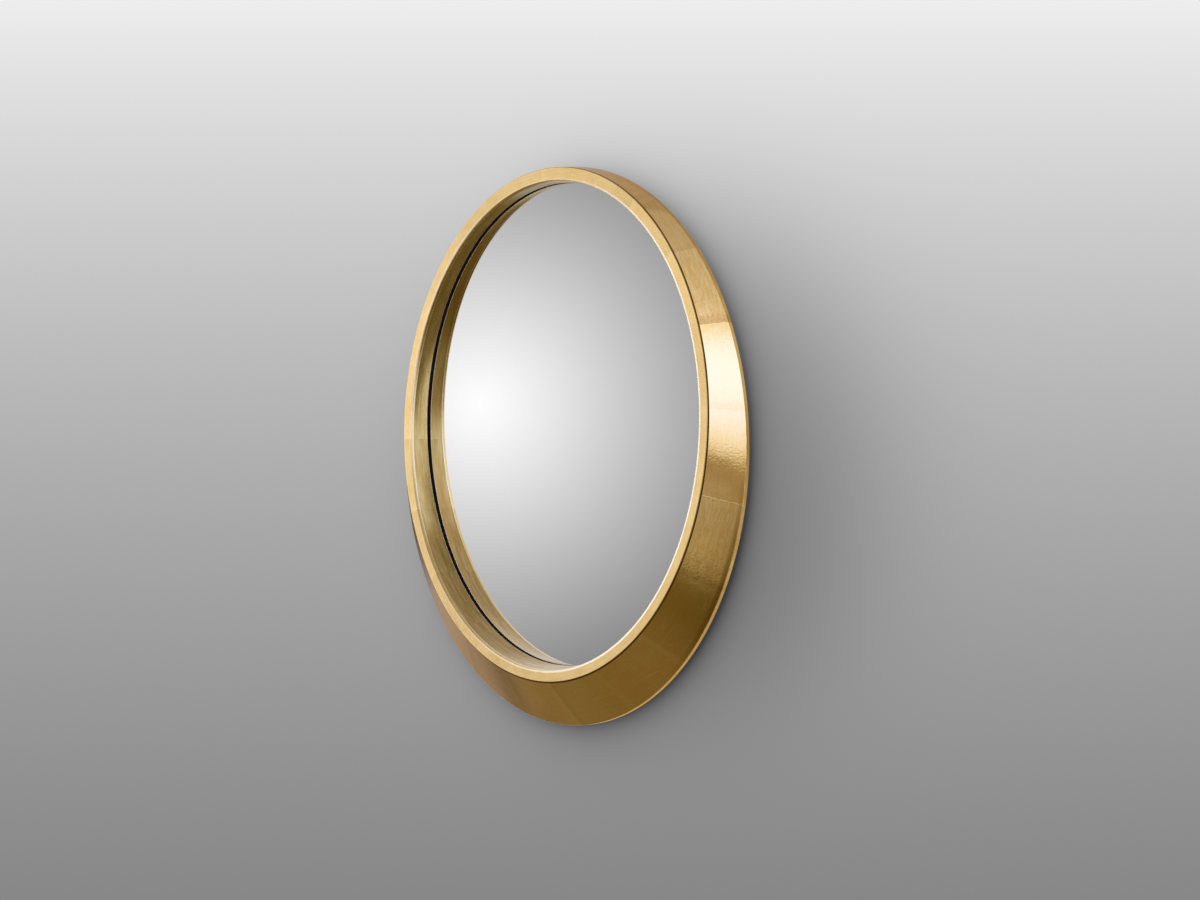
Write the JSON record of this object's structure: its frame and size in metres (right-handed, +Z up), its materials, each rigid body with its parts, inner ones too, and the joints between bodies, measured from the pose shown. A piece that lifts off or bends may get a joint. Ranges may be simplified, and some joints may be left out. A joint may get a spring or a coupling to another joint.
{
  "type": "wall mirror",
  "caption": "Flush-hung round wall mirror in a gilded wooden frame, with a raised rim set high on a wider outline and a bevel that grows from nothing at the top to full width at the foot.",
  "frame": {"origin": "halfway between the two hanging holes, in the flat back of the frame; the wall is 4 mm behind it", "axes": "+X to the right as seen from the front, +Y out of the back towards the wall, +Z up"},
  "size_m": [0.857, 0.0515, 0.833],
  "materials": {
    "gold_leaf": "wood gilded with composition metal leaf over ochre clay, satin, leaf laps every 18 degrees or so",
    "plywood": "bare birch plywood at the back, ochre clay and thin gold on its edge",
    "mirror_glass": "flat silvered float glass",
    "tape": "black foam glazing tape",
    "cork": "pressed cork",
    "hardboard": "tempered hardboard, smooth face out",
    "button_steel": "zinc plated steel strip",
    "zinc_steel": "zinc plated steel",
    "felt": "dense grey wool felt"
  },
  "bodies": {
    "frame": {"back_ring": "plywood", "bevel_body": "gold_leaf", "rim_hoop": "gold_leaf", "glazing_tape": "tape", "mirror_glass": "mirror_glass", "glass_spacers": "cork", "backing_board": "hardboard", "turn_button_screws": "zinc_steel", "hanger_plate_left": "zinc_steel", "hanger_plate_right": "zinc_steel", "hanger_screws": "zinc_steel", "rim_screws": "zinc_steel", "body_screws": "zinc_steel", "wall_bumpers": "felt"},
    "button_1": {"turn_button_1": "button_steel"},
    "button_2": {"turn_button_2": "button_steel"},
    "button_3": {"turn_button_3": "button_steel"},
    "button_4": {"turn_button_4": "button_steel"},
    "button_5": {"turn_button_5": "button_steel"},
    "button_6": {"turn_button_6": "button_steel"},
    "button_7": {"turn_button_7": "button_steel"},
    "button_8": {"turn_button_8": "button_steel"}
  },
  "joints": [
    {"name": "button_1_turn", "type": "hinge", "parent": "frame", "child": "button_1", "pos_m": [0, 0.00105, 0.247], "axis": [0, 1, 0], "continuous": true},
    {"name": "button_2_turn", "type": "hinge", "parent": "frame", "child": "button_2", "pos_m": [0.26481, 0.00105, 0.13731], "axis": [0, 1, 0], "continuous": true},
    {"name": "button_3_turn", "type": "hinge", "parent": "frame", "child": "button_3", "pos_m": [0.3745, 0.00105, -0.1275], "axis": [0, 1, 0], "continuous": true},
    {"name": "button_4_turn", "type": "hinge", "parent": "frame", "child": "button_4", "pos_m": [0.26481, 0.00105, -0.39231], "axis": [0, 1, 0], "continuous": true},
    {"name": "button_5_turn", "type": "hinge", "parent": "frame", "child": "button_5", "pos_m": [0, 0.00105, -0.502], "axis": [0, 1, 0], "continuous": true},
    {"name": "button_6_turn", "type": "hinge", "parent": "frame", "child": "button_6", "pos_m": [-0.26481, 0.00105, -0.39231], "axis": [0, 1, 0], "continuous": true},
    {"name": "button_7_turn", "type": "hinge", "parent": "frame", "child": "button_7", "pos_m": [-0.3745, 0.00105, -0.1275], "axis": [0, 1, 0], "continuous": true},
    {"name": "button_8_turn", "type": "hinge", "parent": "frame", "child": "button_8", "pos_m": [-0.26481, 0.00105, 0.13731], "axis": [0, 1, 0], "continuous": true}
  ]
}
